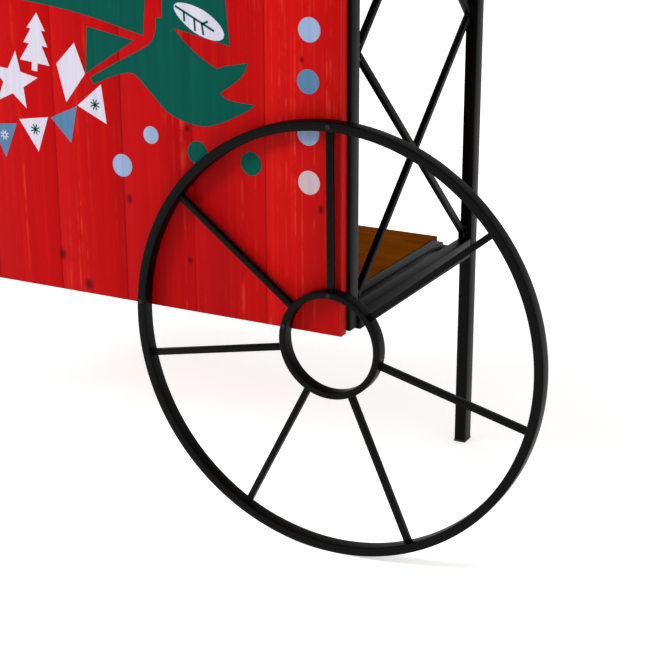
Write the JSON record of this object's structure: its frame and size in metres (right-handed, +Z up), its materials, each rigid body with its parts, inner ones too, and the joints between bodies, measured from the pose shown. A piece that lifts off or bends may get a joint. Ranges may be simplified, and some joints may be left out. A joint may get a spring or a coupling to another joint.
{
  "type": "push vending cart",
  "caption": "Market vending cart with a red plank front, black tube frame, lattice sides, lower shelf, counter, spoked wheels and a gabled cloth canopy.",
  "frame": {"origin": "on the floor, at the centre of the cart's bounding box", "axes": "+X to the viewer's right as seen from the customer side, the plank front faces -Y, +Z up"},
  "size_m": [1.7599, 0.647, 2.1415],
  "materials": {
    "black_steel": "satin black powder coat",
    "black_bolts": "black oxide, satin",
    "black_plastic": "matte",
    "red_boards": "red stain over knotty softwood, satin",
    "shelf_wood": "brown stain, satin",
    "counter_wood": "brown stain, satin",
    "canopy_cloth": "red and cream striped canvas",
    "zinc_screws": "zinc plated"
  },
  "bodies": {
    "root": {"canopy_cover": "canopy_cloth", "canopy_cross_rails": "black_steel", "canopy_eave_rails": "black_steel", "canopy_ends": "canopy_cloth", "canopy_king_posts": "black_steel", "canopy_post_front_left": "black_steel", "canopy_post_front_right": "black_steel", "canopy_post_rear_left": "black_steel", "canopy_post_rear_right": "black_steel", "canopy_post_sleeves": "black_steel", "canopy_ridge_rail": "black_steel", "counter_board_1": "counter_wood", "counter_board_2": "counter_wood", "counter_board_3": "counter_wood", "counter_board_4": "counter_wood", "counter_middle_rail": "black_steel", "counter_screws": "zinc_screws", "front_plank_01": "red_boards", "front_plank_02": "red_boards", "front_plank_03": "red_boards", "front_plank_04": "red_boards", "front_plank_05": "red_boards", "front_plank_06": "red_boards", "front_plank_07": "red_boards", "front_plank_08": "red_boards", "front_plank_09": "red_boards", "front_plank_10": "red_boards", "front_post_left": "black_steel", "front_post_right": "black_steel", "lower_front_rail": "black_steel", "lower_rear_rail": "black_steel", "lower_side_rail_left": "black_steel", "lower_side_rail_right": "black_steel", "middle_front_rail": "black_steel", "panel_screws": "zinc_screws", "rear_feet": "black_plastic", "rear_leg_left": "black_steel", "rear_leg_right": "black_steel", "shelf_bearers": "black_steel", "shelf_board": "shelf_wood", "shelf_screws": "zinc_screws", "shelf_side_rail_left": "black_steel", "shelf_side_rail_right": "black_steel", "side_lattice_left": "black_steel", "side_lattice_right": "black_steel", "sleeve_screws": "zinc_screws", "upper_front_rail": "black_steel", "upper_rear_rail": "black_steel", "upper_side_rail_left": "black_steel", "upper_side_rail_right": "black_steel", "wheel_bolt_inserts": "zinc_screws", "wheel_bolts": "black_bolts", "wheel_hub_ring_left": "black_steel", "wheel_hub_ring_right": "black_steel", "wheel_rim_left": "black_steel", "wheel_rim_right": "black_steel", "wheel_spokes_left": "black_steel", "wheel_spokes_right": "black_steel"}
  },
  "joints": []
}
